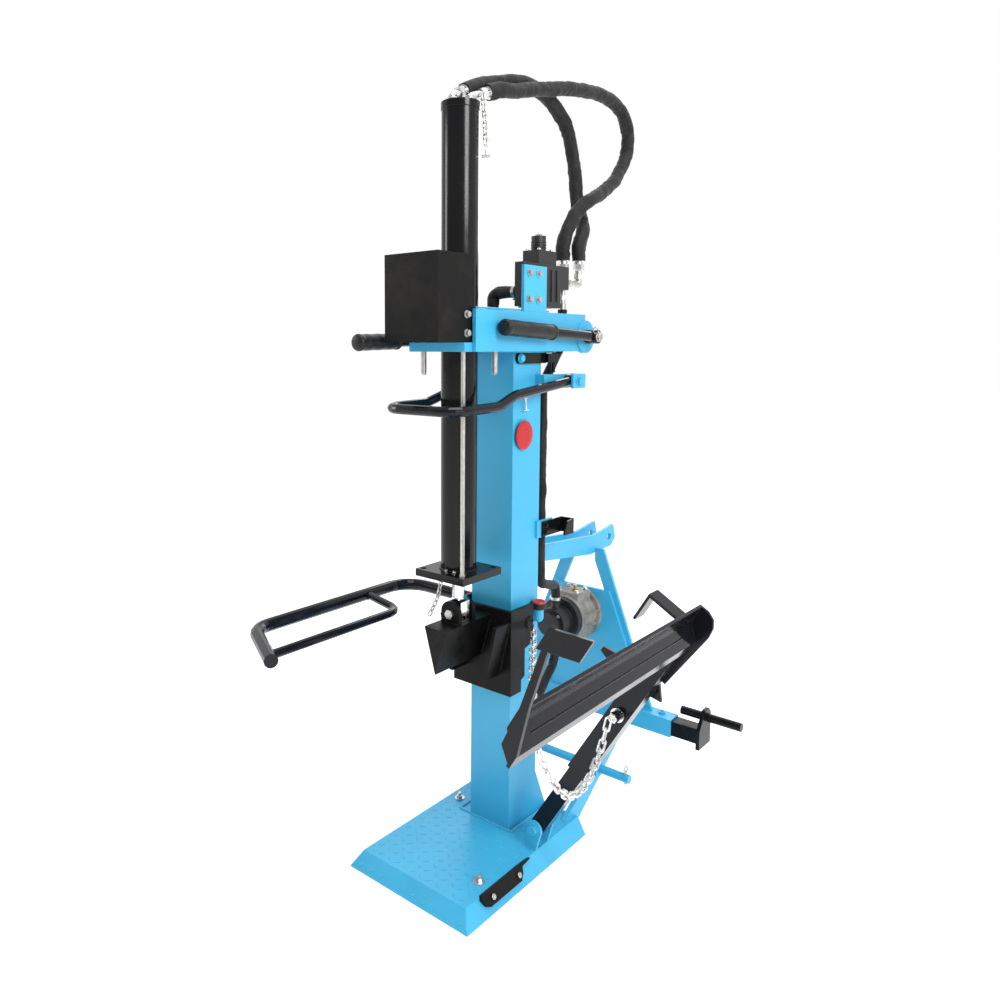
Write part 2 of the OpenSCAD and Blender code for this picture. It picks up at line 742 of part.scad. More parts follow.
// splitting wedge with the two clevis ears on its top
module wedge() color(BLACK) {
    slab_y(wedge_front, carr_front - wedge_front - 0.02,
        [[0, wedge_z], [wedge_w / 2, wedge_top], [-wedge_w / 2, wedge_top]]);
    for (y = [-cyl_y - 38, 26 - cyl_y]) difference() {
        union() {
            box([-34, y, wedge_top - 1], [34, y + 12, 784]);
            rod_y([0, y, 784], 12, 34);
        }
        rod_y([0, y - 1, 780], 20, 11.02);
    }
}

// channel that guides the wedge on the column, with its wear pads and the chain hook
module carriage() color(BLACK) {
    w = carr_w / 2;
    z1 = carr_z + carr_h;
    box([-w, carr_front, carr_z], [w, carr_front + carr_t, z1]);
    mirror_x() {
        slab_x(w - carr_t, carr_t, [[carr_front + 2, carr_z], [100, carr_z], [100, carr_z + 36],
            [118, carr_z + 44], [118, 640], [160, 650], [160, z1], [carr_front + 2, z1]]);
        for (z = [carr_z + 50, z1 - 60]) box([col_w / 2 + 0.3, 96, z], [w - carr_t + 1, 116, z + 40]);
        slab_y(carr_front - 70, 72, [[w - 14, z1 - 30], [w - 2, z1 - 30], [w - 40, carr_z + 60],
            [w - 52, carr_z + 60]]);
    }
    for (z = [carr_z + 50, z1 - 60]) box([-40, carr_front + carr_t - 1, z], [40, col_y - 0.3, z + 40]);
    translate([w - 1, 140, 716]) rotate([90, 0, 90]) rotate_extrude(angle = 250)
        translate([15, 0]) circle(r = 6);
}

// -- log lifter -----------------------------------------------------------------------------------

module lifter_ears() color(BLUE) {
    for (y = [lift_y - 37, lift_y + 27]) difference() {
        union() {
            box([lift_x - 26, y, base_h + 0.02], [lift_x + 10, y + 10, lift_z]);
            rod_y([lift_x, y, lift_z], 10, 26);
            slab_y(y, 10, [[lift_x, base_h + 0.02], [lift_x + 9, base_h + 0.02],
                [lift_x + 26, lift_z], [lift_x, lift_z]]);
        }
        rod_y([lift_x, y - 1, lift_z], 12, 10.05);
    }
    rod_y([lift_x, lift_y - 46, lift_z], 92, 10);
    translate([lift_x, lift_y - 37.1, lift_z]) rotate([90, 0, 0]) hex_head(26, 11);
}

// places its children in the arm's frame: z along the arm, x across it and away from the column
module on_arm() {
    translate([lift_x, lift_y, lift_z]) rotate([0, 90 - lift_a, 0]) children();
}

module lifter_arm() color(BLACK) on_arm() {
    a = 24;
    b = 30;
    difference() {
        union() {
            box([-a, -a, 0], [a, a, 330]);
            rod_y([0, -a, 0], 2 * a, a);
        }
        rod_y([0, -a - 5, 0], 2 * a + 10, 10.08);
    }
    difference() {
        box([-b, -b, 262], [b, b, lift_l]);
        box([-a - 0.05, -a - 0.05, 261], [a + 0.05, a + 0.05, 330.1]);
    }
    // lug for the chain
    rod_y([0, -b - 16, lug_s], 20, 9);
    rod_y([0, -b - 22, lug_s], 8, 15);
    // pointed gusset behind the arm
    slab_y(b - 1, 9, [[60, 600], [29, 640], [-30, 640], [-150, 606], [-150, 590], [-30, 560], [29, 590]]);
}

// cradle at the arm's end: a long folded channel with a tapered finger in front and a hook behind
module cradle() color(BLACK) on_arm() {
    y0 = 60 - cradle_l;
    z0 = lift_l + 0.02;
    slab_y(y0, 38.1 - y0, [[-8, z0 + 100], [0, z0 + 100], [0, z0 + 49], [38, z0 + 11],
        [38, z0 - 20], [30.2, z0 - 20], [30.2, z0 + 7], [-8, z0 + 45]]);
    // finger with its flag
    slab_y(y0, 10, [[0, z0 + 8], [36, z0 - 18], [38, z0 + 11], [8, z0 + 110], [-30, z0 + 280],
        [-42, z0 + 280], [-8, z0 + 100]]);
    slab_y(y0, 8, [[-42, z0 + 222], [37, z0 + 266], [37, z0 + 318], [-42, z0 + 274]]);
    // end plate with a rounded corner, and the hook above it
    slab_y(30.1, 8, [[-30, z0 + 40], [-8, z0 + 100], [20, z0 + 100], [42, z0 + 90], [54, z0 + 70],
        [58, z0 + 42], [40, z0 - 150], [-30, z0 - 150]]);
    box([-118, -14, z0 + 44], [-4, 38, z0 + 52]);
    box([-118, -14, z0 - 36], [-110, 38, z0 + 52]);
    // pad on the arm, stiffener under the channel and the eye that the chain hangs from
    box([-8, -40, z0], [30.2, 30.2, z0 + 12]);
    box([12, y0 + 60, z0 - 30], [20, -34, z0 + 32]);
    rod_y([14, shackle_y - 6, z0 - 26], 12, 16);
}

// links hung along a sagging line from a to b, every second one turned
module chain(a, b, sag) {
    wire = 3.2;
    long = 48;
    pitch = long - 4 * wire - 0.4;
    length = norm(b - a) * (1 + 8 / 3 * pow(sag / norm(b - a), 2));
    n = floor(length / pitch);
    for (i = [0:n]) {
        s = i / n;
        d = b - a + [0, 0, -4 * sag * (1 - 2 * s)];
        translate(a + (b - a) * s - [0, 0, 4 * sag * s * (1 - s)])
            rotate([0, acos(d[2] / norm(d)), atan2(d[1], d[0])]) rotate([0, 0, 90 * (i % 2)])
            link(long, 22, wire);
    }
}

module slack_chain() color(STEEL) chain([582, -516, 711], [445, 21, 541], 140);

// chain from the cradle up to the carriage's hook, where it is left open
module hoist_chain() color(STEEL) chain([571, -530, 769], [136, 122, 705], 20);

// -- log arm on the left --------------------------------------------------------------------------

module log_arm() color(BLACK) {
    y = log_arm_y;
    z = log_arm_z;
    bent_tube([[-118, y, z], [-450, y, z], [-450, -470, z], [-215, -590, z]], 90, arm_r);
    bent_tube([[-436, -10, z], [-250, -60, z], [-250, -560, z]], 60, guard_r);
    difference() {
        rod_z([-101, y, z - 60], 120, 24);
        rod_z([-101, y, z - 61], 122, 12.05);
    }
}

base_plate();
base_bolts();
base_claw();
column();
head_plate();
right_cheek();
left_cheek();
guard_box();
lock_studs();
valve_plate();
head_bolts();
valve_block();
valve_spool();
valve_fittings();
return_pipe();
return_hose();
lever_link();
hoop_brackets();
hoop_lever();
right_lever();
right_grip();
left_lever();
left_grip();
mast();
crossbeam();
beam_insert_right();
beam_insert_left();
rear_legs();
hitch_shaft();
linch_pins();
gearbox_plate();
gearbox();
pump();
gearbox_bolts();
pto_shaft();
breather();
pto_rest();
filler_neck();
filler_cap();
suction_elbow();
suction_hose();
pressure_hose();
barrel();
barrel_cap();
gland();
piston();
piston_rod();
stop_rod();
port_elbows();
hose_lift();
hose_split();
clevis_pin();
wedge();
carriage();
lifter_ears();
lifter_arm();
cradle();
slack_chain();
hoist_chain();
log_arm();
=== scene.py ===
import json
import math

import bmesh
import bpy
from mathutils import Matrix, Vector, noise


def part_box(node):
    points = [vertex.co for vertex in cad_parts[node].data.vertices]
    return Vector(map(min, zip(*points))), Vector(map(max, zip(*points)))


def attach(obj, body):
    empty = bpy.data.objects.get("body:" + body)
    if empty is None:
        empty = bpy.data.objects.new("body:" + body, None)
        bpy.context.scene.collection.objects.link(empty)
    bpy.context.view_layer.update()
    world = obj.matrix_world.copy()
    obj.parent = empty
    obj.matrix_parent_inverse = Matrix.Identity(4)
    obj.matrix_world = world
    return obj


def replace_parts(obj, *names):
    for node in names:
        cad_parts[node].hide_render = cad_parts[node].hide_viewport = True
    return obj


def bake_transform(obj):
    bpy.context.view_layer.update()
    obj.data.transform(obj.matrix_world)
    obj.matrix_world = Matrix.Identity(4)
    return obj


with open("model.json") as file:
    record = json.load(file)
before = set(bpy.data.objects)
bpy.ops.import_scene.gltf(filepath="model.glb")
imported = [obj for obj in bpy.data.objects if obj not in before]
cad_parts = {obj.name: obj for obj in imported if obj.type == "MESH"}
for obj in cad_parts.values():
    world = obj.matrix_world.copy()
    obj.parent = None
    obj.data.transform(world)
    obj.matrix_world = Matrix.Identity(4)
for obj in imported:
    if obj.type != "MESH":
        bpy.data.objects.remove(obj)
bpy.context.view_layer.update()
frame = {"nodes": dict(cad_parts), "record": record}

# -- places that the trim shares with the CAD pieces, in metres -----------------------------------

# width of the base plate's sloping rim
RIM = 0.030
# where the cylinder's axis stands behind the origin, and the top of its foot flange
BARREL_Y = -0.070
FLANGE_TOP = 0.911
# height of the gearbox's shaft, and of the pivots of the two control levers
GEAR_Z = 0.612
LEVER_PIVOT_Z = 1.586
# the log lifter's hinge, how steeply its arm stands, and how far up the slack chain's lug is
LIFTER_HINGE = (0.185, 0.100, 0.112)
LIFTER_SLOPE = 59
LIFTER_LUG = 0.512
# centre of the valve's cap in plan, and the round badge's on the column's side
VALVE_CAP = (0.060, 0.235)
BADGE_AT = (0.1385, 1.290)

# -- camera, light and floor ----------------------------------------------------------------------

# where the photo's camera stands in metres, its turn and downward tilt in degrees, its lens in mm
CAMERA_AT = (1.466, -1.875, 1.55)
CAMERA_TURN = 41.5
CAMERA_DOWN = 5.9
CAMERA_LENS = 29.23
CAMERA_SHIFT = (0.075, -0.068)
# how bright the white surround is where the machine's front faces it
FRONT_DIM = 0.42


def make_camera():
    data = bpy.data.cameras.new("camera")
    data.sensor_width = 36
    data.lens = CAMERA_LENS
    data.shift_x, data.shift_y = CAMERA_SHIFT
    camera = bpy.data.objects.new("camera", data)
    camera.location = CAMERA_AT
    camera.rotation_euler = (math.radians(90 - CAMERA_DOWN), 0, math.radians(CAMERA_TURN))
    bpy.context.scene.collection.objects.link(camera)
    bpy.context.scene.camera = camera


def area_light(name, at, target, size, watts):
    data = bpy.data.lights.new(name, "AREA")
    data.size = size
    data.energy = watts
    light = bpy.data.objects.new(name, data)
    light.location = at
    light.rotation_euler = (Vector(target) - Vector(at)).to_track_quat("-Z", "Y").to_euler()
    bpy.context.scene.collection.objects.link(light)


def make_lights():
    area_light("key", (4.2, -0.9, 3.4), (0, 0, 1.1), 1.8, 150)
    area_light("left", (-3.4, -2.4, 2.6), (0, 0, 1.0), 1.2, 32)
    area_light("back", (-1.5, 3.8, 3.4), (0, 0, 1.0), 2.4, 50)
    area_light("top", (0.4, -0.2, 5.2), (0, 0, 0.6), 2.0, 82)


def make_surround():
    """White all round, dimmer towards the side that the machine's front faces."""
    world = bpy.data.worlds.new("studio")
    world.use_nodes = True
    tree = world.node_tree
    toward = tree.nodes.new("ShaderNodeTexCoord").outputs["Generated"]
    split = tree.nodes.new("ShaderNodeSeparateXYZ")
    tree.links.new(toward, split.inputs[0])
    ramp = tree.nodes.new("ShaderNodeMapRange")
    tree.links.new(split.outputs["Y"], ramp.inputs["Value"])
    for key, value in {"From Min": -0.75, "From Max": 0.15, "To Min": FRONT_DIM, "To Max": 1.0}.items():
        ramp.inputs[key].default_value = value
    background = tree.nodes["Background"]
    background.inputs["Color"].default_value = (1.0, 1.0, 1.0, 1)
    tree.links.new(ramp.outputs[0], background.inputs["Strength"])
    bpy.context.scene.world = world
    bpy.context.scene.view_settings.view_transform = "Standard"


# -- materials ------------------------------------------------------------------------------------


class Shader:
    """A Principled material and short calls that add nodes to it."""

    def __init__(self, name, **values):
        self.material = bpy.data.materials.new(name)
        self.material.use_nodes = True
        self.tree = self.material.node_tree
        self.tree.nodes.clear()
        self.bsdf = self.tree.nodes.new("ShaderNodeBsdfPrincipled")
        out = self.tree.nodes.new("ShaderNodeOutputMaterial")
        self.tree.links.new(self.bsdf.outputs[0], out.inputs[0])
        self.coords = self.tree.nodes.new("ShaderNodeTexCoord").outputs["Object"]
        self.geometry = self.tree.nodes.new("ShaderNodeNewGeometry")
        self.normal = None
        for key, value in values.items():
            self.put(self.bsdf, key.replace("_", " "), value)

    def put(self, node, key, value):
        """Sets an input, or links it where value is another node's socket."""
        socket = node.inputs[key]
        if isinstance(value, bpy.types.NodeSocket):
            self.tree.links.new(value, socket)
        elif isinstance(value, tuple) and len(value) == 3 and socket.type == "RGBA":
            socket.default_value = (*value, 1)
        else:
            socket.default_value = value

    def add(self, kind, inputs, output=0, **settings):
        node = self.tree.nodes.new(kind)
        for key, value in settings.items():
            setattr(node, key, value)
        for key, value in inputs.items():
            self.put(node, key, value)
        return node.outputs[output]

    def stretched(self, x, y, z):
        return self.add("ShaderNodeMapping", {"Vector": self.coords, "Scale": (x, y, z)})

    def noise(self, scale, detail=3.0, roughness=0.5, vector=None):
        return self.add("ShaderNodeTexNoise", {"Vector": vector or self.coords, "Scale": scale,
            "Detail": detail, "Roughness": roughness})

    def cells(self, scale, output="Distance", vector=None):
        return self.add("ShaderNodeTexVoronoi", {"Vector": vector or self.coords, "Scale": scale}, output)

    def range(self, value, low, high, to_low=0.0, to_high=1.0):
        return self.add("ShaderNodeMapRange", {"Value": value, "From Min": low, "From Max": high,
            "To Min": to_low, "To Max": to_high})

    def math(self, operation, a, b):
        return self.add("ShaderNodeMath", {0: a, 1: b}, operation=operation)

    def mix(self, factor, a, b):
        return self.add("ShaderNodeMix", {"Factor": factor, 6: a, 7: b}, 2, data_type="RGBA")

    def round_edges(self, radius):
        self.normal = self.add("ShaderNodeBevel", {"Radius": radius}, samples=4)

    def edges(self, low=0.995, high=0.90):
        """1 on the sharp edges, 0 on the flats, from how far the rounded normal leans."""
        lean = self.add("ShaderNodeVectorMath", {0: self.geometry.outputs["Normal"], 1: self.normal},
            "Value", operation="DOT_PRODUCT")
        return self.range(lean, low, high)

    def bump(self, height, distance, strength=1.0):
        inputs = {"Height": height, "Distance": distance, "Strength": strength}
        if self.normal is not None:
            inputs["Normal"] = self.normal
        self.normal = self.add("ShaderNodeBump", inputs)

    def finish(self):
        if self.normal is not None:
            self.put(self.bsdf, "Normal", self.normal)
        return self.material


def painted(name, colour, dark, worn, roughness, gloss, edge=0.0016, peel=0.00025):
    """Paint over steel: slow colour drift, uneven gloss, orange peel, and thin light edges that are partly
    bare-metal wear and partly a painted edge highlight.
    """
    s = Shader(name, Specular_IOR_Level=gloss)
    s.round_edges(edge)
    rims = s.edges()
    drift = s.noise(3.0, 4.0)
    chip_and_glint_spots = s.range(s.noise(140.0, 4.0, 0.7), 0.56, 0.64)
    body = s.mix(s.range(drift, 0.35, 0.7), colour, dark)
    # the lighter colour on the sharp edges is partly chipped wear and partly a painted highlight along the
    # rounded edges
    s.put(s.bsdf, "Base Color", s.mix(s.math("MULTIPLY", rims, chip_and_glint_spots), body, worn))
    s.put(s.bsdf, "Roughness",
        s.range(s.noise(28.0, 5.0, 0.65), 0.3, 0.75, roughness - 0.06, roughness + 0.08))
    s.bump(s.noise(420.0, 2.0), peel, 0.25)
    return s.finish()


def powder(name, colour, light, roughness):
    """Black powder coat with a fine grain and rubbed places."""
    s = Shader(name, Specular_IOR_Level=0.12)
    s.round_edges(0.0012)
    grain = s.cells(900.0)
    rubbed = s.math("MULTIPLY", s.range(s.noise(9.0, 6.0, 0.7), 0.48, 0.72), s.range(grain, 0.1, 0.6))
    worn = s.math("MAXIMUM", rubbed, s.math("MULTIPLY", s.edges(0.99, 0.85), s.noise(120.0, 3.0)))
    s.put(s.bsdf, "Base Color", s.mix(worn, colour, light))
    s.put(s.bsdf, "Roughness", s.range(s.noise(40.0, 5.0), 0.3, 0.7, roughness - 0.08, roughness + 0.1))
    s.bump(grain, 0.0004, 0.35)
    return s.finish()


def metal(name, colour, dark, roughness, edge=0.0008, lines=None):
    """Bare or plated steel: clouded plating, fine brushing along one way where lines says."""
    s = Shader(name, Metallic=1.0)
    s.round_edges(edge)
    cloud = s.noise(60.0, 5.0, 0.7)
    s.put(s.bsdf, "Base Color", s.mix(s.range(cloud, 0.3, 0.75), colour, dark))
    s.put(s.bsdf, "Roughness", s.range(s.noise(90.0, 4.0), 0.25, 0.75, roughness - 0.08, roughness + 0.1))
    vector = s.stretched(*lines) if lines else None
    s.bump(s.noise(500.0, 3.0, 0.6, vector), 0.00015, 0.3)
    return s.finish()


def cast(name, colour, dark, roughness, metallic=0.0):
    """A sand-cast surface with pits, oil in the hollows and a rough skin."""
    s = Shader(name, Metallic=metallic)
    s.round_edges(0.003)
    stain = s.range(s.noise(14.0, 6.0, 0.7), 0.35, 0.7)
    s.put(s.bsdf, "Base Color", s.mix(stain, colour, dark))
    s.put(s.bsdf, "Roughness", s.range(stain, 0.0, 1.0, roughness, roughness - 0.15))
    pits = s.math("ADD", s.noise(260.0, 4.0, 0.65), s.range(s.cells(330.0), 0.0, 0.35))
    s.bump(pits, 0.0009, 0.5)
    return s.finish()


def sleeve(name):
    """Black woven textile sleeve: crossing threads, fluff and a dusty sheen."""
    s = Shader(name, Sheen_Weight=0.10, Sheen_Roughness=0.4, Specular_IOR_Level=0.28)
    threads = s.math("MAXIMUM", *[
        s.add("ShaderNodeTexWave", {"Vector": s.coords, "Scale": 190.0, "Distortion": 0.6}, 1,
            bands_direction=way) for way in ("DIAGONAL", "Z")])
    dust = s.range(s.noise(22.0, 6.0, 0.7), 0.42, 0.75)
    s.put(s.bsdf, "Base Color", s.mix(dust, (0.006, 0.006, 0.007), (0.022, 0.021, 0.020)))
    s.put(s.bsdf, "Roughness", s.range(s.noise(50.0), 0.3, 0.7, 0.5, 0.72))
    s.bump(threads, 0.0006, 0.5)
    s.bump(s.noise(90.0, 5.0, 0.7), 0.0015, 0.5)
    return s.finish()


def rubber(name):
    """Moulded grip rubber with small raised dots."""
    s = Shader(name, Specular_IOR_Level=0.32)
    dots = s.range(s.cells(210.0), 0.28, 0.12)
    s.put(s.bsdf, "Base Color", s.mix(s.range(s.noise(30.0, 5.0), 0.4, 0.7), (0.005, 0.005, 0.006),
        (0.016, 0.016, 0.016)))
    s.put(s.bsdf, "Roughness", s.range(dots, 0.0, 1.0, 0.42, 0.22))
    s.bump(dots, 0.0008, 0.7)
    return s.finish()


def plastic(name, colour, dark):
    """Moulded plastic with a faint grain."""
    s = Shader(name)
    s.round_edges(0.001)
    s.put(s.bsdf, "Base Color", s.mix(s.range(s.noise(25.0, 5.0), 0.4, 0.7), colour, dark))
    s.put(s.bsdf, "Roughness", s.range(s.noise(70.0, 4.0), 0.3, 0.7, 0.3, 0.45))
    s.bump(s.noise(380.0, 3.0), 0.0002, 0.4)
    return s.finish()


BLUE = (0.046, 0.400, 0.650)
BLUE_DARK = (0.038, 0.355, 0.600)
# pale blue for the thin edges: partly worn paint, partly a painted edge highlight
BLUE_EDGE_WEAR_AND_HIGHLIGHT = (0.42, 0.66, 0.78)
BLACK = (0.004, 0.004, 0.005)

MATERIALS = {
    "blue_paint": painted("blue_paint", BLUE, BLUE_DARK, BLUE_EDGE_WEAR_AND_HIGHLIGHT, 0.40, 0.45),
    "black_paint": painted("black_paint", BLACK, (0.007, 0.007, 0.007), (0.05, 0.048, 0.045), 0.24, 0.18),
    "gloss_black": painted("gloss_black", BLACK, (0.006, 0.006, 0.006), (0.05, 0.05, 0.05), 0.15, 0.28,
        0.0012, 0.0001),
    "zinc_steel": metal("zinc_steel", (0.66, 0.65, 0.62), (0.42, 0.41, 0.39), 0.34),
    "bright_zinc": metal("bright_zinc", (0.84, 0.84, 0.83), (0.62, 0.62, 0.62), 0.24),
    "chain_steel": metal("chain_steel", (0.78, 0.77, 0.74), (0.50, 0.49, 0.47), 0.28),
    "hose_sleeve": sleeve("hose_sleeve"),
    "rubber_grip": rubber("rubber_grip"),
    "red_plastic": plastic("red_plastic", (0.50, 0.020, 0.024), (0.40, 0.014, 0.017)),
    "chrome_rod": metal("chrome_rod", (0.86, 0.86, 0.87), (0.72, 0.72, 0.73), 0.12, 0.0005, (1, 1, 0.05)),
    "cast_grey": cast("cast_grey", (0.36, 0.34, 0.31), (0.13, 0.12, 0.11), 0.58, 0.25),
    "brass_plug": metal("brass_plug", (0.62, 0.44, 0.18), (0.38, 0.26, 0.10), 0.34),
    "black_casting": cast("black_casting", (0.010, 0.010, 0.011), (0.005, 0.005, 0.005), 0.5),
}
# finishes of single pieces, within their slots
ENAMEL = painted("black_enamel", (0.005, 0.006, 0.010), (0.007, 0.007, 0.010), (0.06, 0.06, 0.06), 0.12, 0.24,
    0.0014, 0.00012)
POWDER = powder("guard_powder", (0.006, 0.006, 0.006), (0.018, 0.015, 0.012), 0.46)
WORN_BLACK = powder("carriage_black", (0.004, 0.004, 0.004), (0.018, 0.017, 0.015), 0.34)
BLACK_PLASTIC = plastic("black_plastic", (0.007, 0.007, 0.008), (0.012, 0.012, 0.012))
BADGE_RED = painted("badge_red", (0.46, 0.010, 0.014), (0.42, 0.008, 0.012), (0.6, 0.3, 0.3), 0.3, 0.4,
    0.0004)


def paint_nodes():
    slots = {s["node"]: s["material_slot"] for s in frame["record"]["subparts"]}
    own = {name: ENAMEL for name in ("cradle", "lifter_arm", "hoop_lever", "log_arm")}
    own.update({"guard_box": POWDER, "base_claw": POWDER, "carriage": WORN_BLACK, "wedge": WORN_BLACK})
    for name, node in frame["nodes"].items():
        node.data.materials.clear()
        node.data.materials.append(own.get(name) or MATERIALS[slots[name]])


# -- shapes ---------------------------------------------------------------------------------------


def across(direction):
    """Two unit directions square to a direction and to each other."""
    d = Vector(direction).normalized()
    helper = Vector((1, 0, 0)) if abs(d.z) > 0.8 else Vector((0, 0, 1))
    side = d.cross(helper).normalized()
    return side, d.cross(side)


def smooth_path(points, step):
    """Points a step apart on the smooth curve through the given points."""
    p = [Vector(q) for q in points]
    p = [2 * p[0] - p[1], *p, 2 * p[-1] - p[-2]]
    fine = []
    for a, b, c, d in zip(p, p[1:], p[2:], p[3:]):
        count = max(2, round((c - b).length / step))
        for k in range(count):
            t = k / count
            fine.append(0.5 * (2 * b + (c - a) * t + (2 * a - 5 * b + 4 * c - d) * t * t
                + (3 * b - a - 3 * c + d) * t ** 3))
    return [*fine, p[-2]]


def rounded_path(points, radius, step):
    """The polyline with its corners rounded to about radius, points about a step apart."""
    p = [Vector(q) for q in points]
    out = [p[0]]
    for a, b, c in zip(p, p[1:], p[2:]):
        u, w = (b - a).normalized(), (c - b).normalized()
        turn = u.angle(w)
        cut = radius * math.tan(turn / 2)
        start, end = b - u * cut, b + w * cut
        count = max(2, round(radius * turn / step))
        out += [start.lerp(b, k / count).lerp(b.lerp(end, k / count), k / count) for k in range(count + 1)]
    out.append(p[-1])
    dense = [out[0]]
    for a, b in zip(out, out[1:]):
        count = max(1, round((b - a).length / step))
        dense += [a.lerp(b, k / count) for k in range(1, count + 1)]
    return dense


class Shape:
    """Collects solids and makes one mesh piece of them."""

    def __init__(self):
        self.verts = []
        self.faces = []

    def add(self, verts, faces):
        first = len(self.verts)
        self.verts += [Vector(v) for v in verts]
        self.faces += [[first + i for i in face] for face in faces]

    def rings(self, rings, closed=False):
        """Skins a list of rings of equal counts, with end caps unless closed on itself."""
        sides = len(rings[0])
        verts = [v for ring in rings for v in ring]
        pairs = list(zip(range(len(rings)), range(1, len(rings))))
        if closed:
            pairs.append((len(rings) - 1, 0))
        faces = [[i * sides + k, i * sides + (k + 1) % sides, j * sides + (k + 1) % sides, j * sides + k]
            for i, j in pairs for k in range(sides)]
        if not closed:
            faces.append(list(range(sides))[::-1])
            faces.append([(len(rings) - 1) * sides + k for k in range(sides)])
        self.add(verts, faces)

    def tube(self, path, radius, sides=16, closed=False):
        """A tube along path. radius is a number, or a function of distance, direction and ring index."""
        n = len(path)
        side = None
        rings = []
        along = 0.0
        for i, at in enumerate(path):
            before = path[i - 1] if i or closed else at
            after = path[(i + 1) % n] if i < n - 1 or closed else at
            tangent = (after - before).normalized()
            if side is None:
                side = across(tangent)[0]
            side = (side - tangent * side.dot(tangent)).normalized()
            up = tangent.cross(side)
            if i:
                along += (at - path[i - 1]).length
            ring = []
            for k in range(sides):
                angle = 2 * math.pi * k / sides
                way = side * math.cos(angle) + up * math.sin(angle)
                r = radius(along, way, i) if callable(radius) else radius
                ring.append(at + way * r)
            rings.append(ring)
        self.rings(rings, closed)

    def lathe(self, at, axis, profile, sides=32):
        """A turned solid: profile is (distance along axis, radius) pairs."""
        at, d = Vector(at), Vector(axis).normalized()
        side, up = across(axis)
        self.rings([[at + d * h + (side * math.cos(2 * math.pi * k / sides)
            + up * math.sin(2 * math.pi * k / sides)) * r for k in range(sides)] for h, r in profile])

    def hexagon(self, at, axis, flat, height, chamfer=0.12):
        """A hexagonal nut or head with chamfered corners."""
        r = flat / math.sqrt(3)
        cut = r * chamfer
        self.lathe(at, axis, [(0, r), (height - cut, r), (height, r - cut)], 6)

    def block(self, low, high, bevel=0.0):
        """A box, its edges cut back where bevel is given."""
        bm = bmesh.new()
        bmesh.ops.create_cube(bm, size=1)
        lo, hi = Vector(low), Vector(high)
        for v in bm.verts:
            v.co = [(lo[i] + hi[i]) / 2 + v.co[i] * (hi[i] - lo[i]) for i in range(3)]
        if bevel:
            bmesh.ops.bevel(bm, geom=bm.edges[:], offset=bevel, segments=2, affect="EDGES", profile=0.5)
        bm.verts.index_update()
        self.add([v.co.copy() for v in bm.verts], [[v.index for v in f.verts] for f in bm.faces])
        bm.free()

    def bead(self, path, radius=0.0032, pitch=0.0045, closed=False):
        """A weld bead: a flattish tube with the ripples of each puddle."""
        points = [Vector(p) for p in path]
        if closed:
            points.append(points[0])
        dense = [points[0]]
        for a, b in zip(points, points[1:]):
            count = max(1, round((b - a).length / (pitch / 4)))
            dense += [a.lerp(b, k / count) for k in range(1, count + 1)]
        if closed:
            dense.pop()

        def ripple(along, way, _):
            wave = abs(math.sin(math.pi * along / pitch))
            drift = noise.noise(Vector((along * 40, way.x, way.y + way.z)))
            return radius * (0.86 + 0.2 * wave + 0.16 * drift)

        self.tube(dense, ripple, 8, closed)

    def link(self, at, along, flat, length, width, wire):
        """One chain link: along is its long way and flat the way that it is wide."""
        u, w = Vector(along).normalized(), Vector(flat).normalized()
        r = width / 2 - wire
        straight = length / 2 - width / 2
        path = []
        for end in (1, -1):
            for k in range(9):
                a = math.pi * k / 8
                path.append(Vector(at) + u * end * (straight + r * math.sin(a)) + w * end * r * math.cos(a))
        self.tube(path, wire, 10, True)

    def chain(self, path, length=0.026, width=0.017, wire=0.0024):
        """Links along a path, every second one turned a quarter."""
        points = [Vector(p) for p in path]
        pitch = length - 4 * wire
        spots = [points[0]]
        left = pitch
        for a, b in zip(points, points[1:]):
            gone = 0.0
            whole = (b - a).length
            while whole - gone >= left:
                gone += left
                spots.append(a.lerp(b, gone / whole))
                left = pitch
            left -= whole - gone
        for i, (a, b) in enumerate(zip(spots, spots[1:])):
            self.link((a + b) / 2, b - a, across(b - a)[i % 2], length, width, wire)

    def piece(self, name, body, slot, material=None, sharp=35.0):
        mesh = bpy.data.meshes.new(name)
        mesh.from_pydata(self.verts, [], self.faces)
        bm = bmesh.new()
        bm.from_mesh(mesh)
        bmesh.ops.recalc_face_normals(bm, faces=bm.faces)
        bm.to_mesh(mesh)
        bm.free()
        mesh.shade_smooth()
        mesh.set_sharp_from_angle(angle=math.radians(sharp))
        mesh.materials.append(material or MATERIALS[slot])
        obj = bpy.data.objects.new(name, mesh)
        bpy.context.scene.collection.objects.link(obj)
        if body:
            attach(obj, body)
        return obj


# -- hoses ----------------------------------------------------------------------------------------

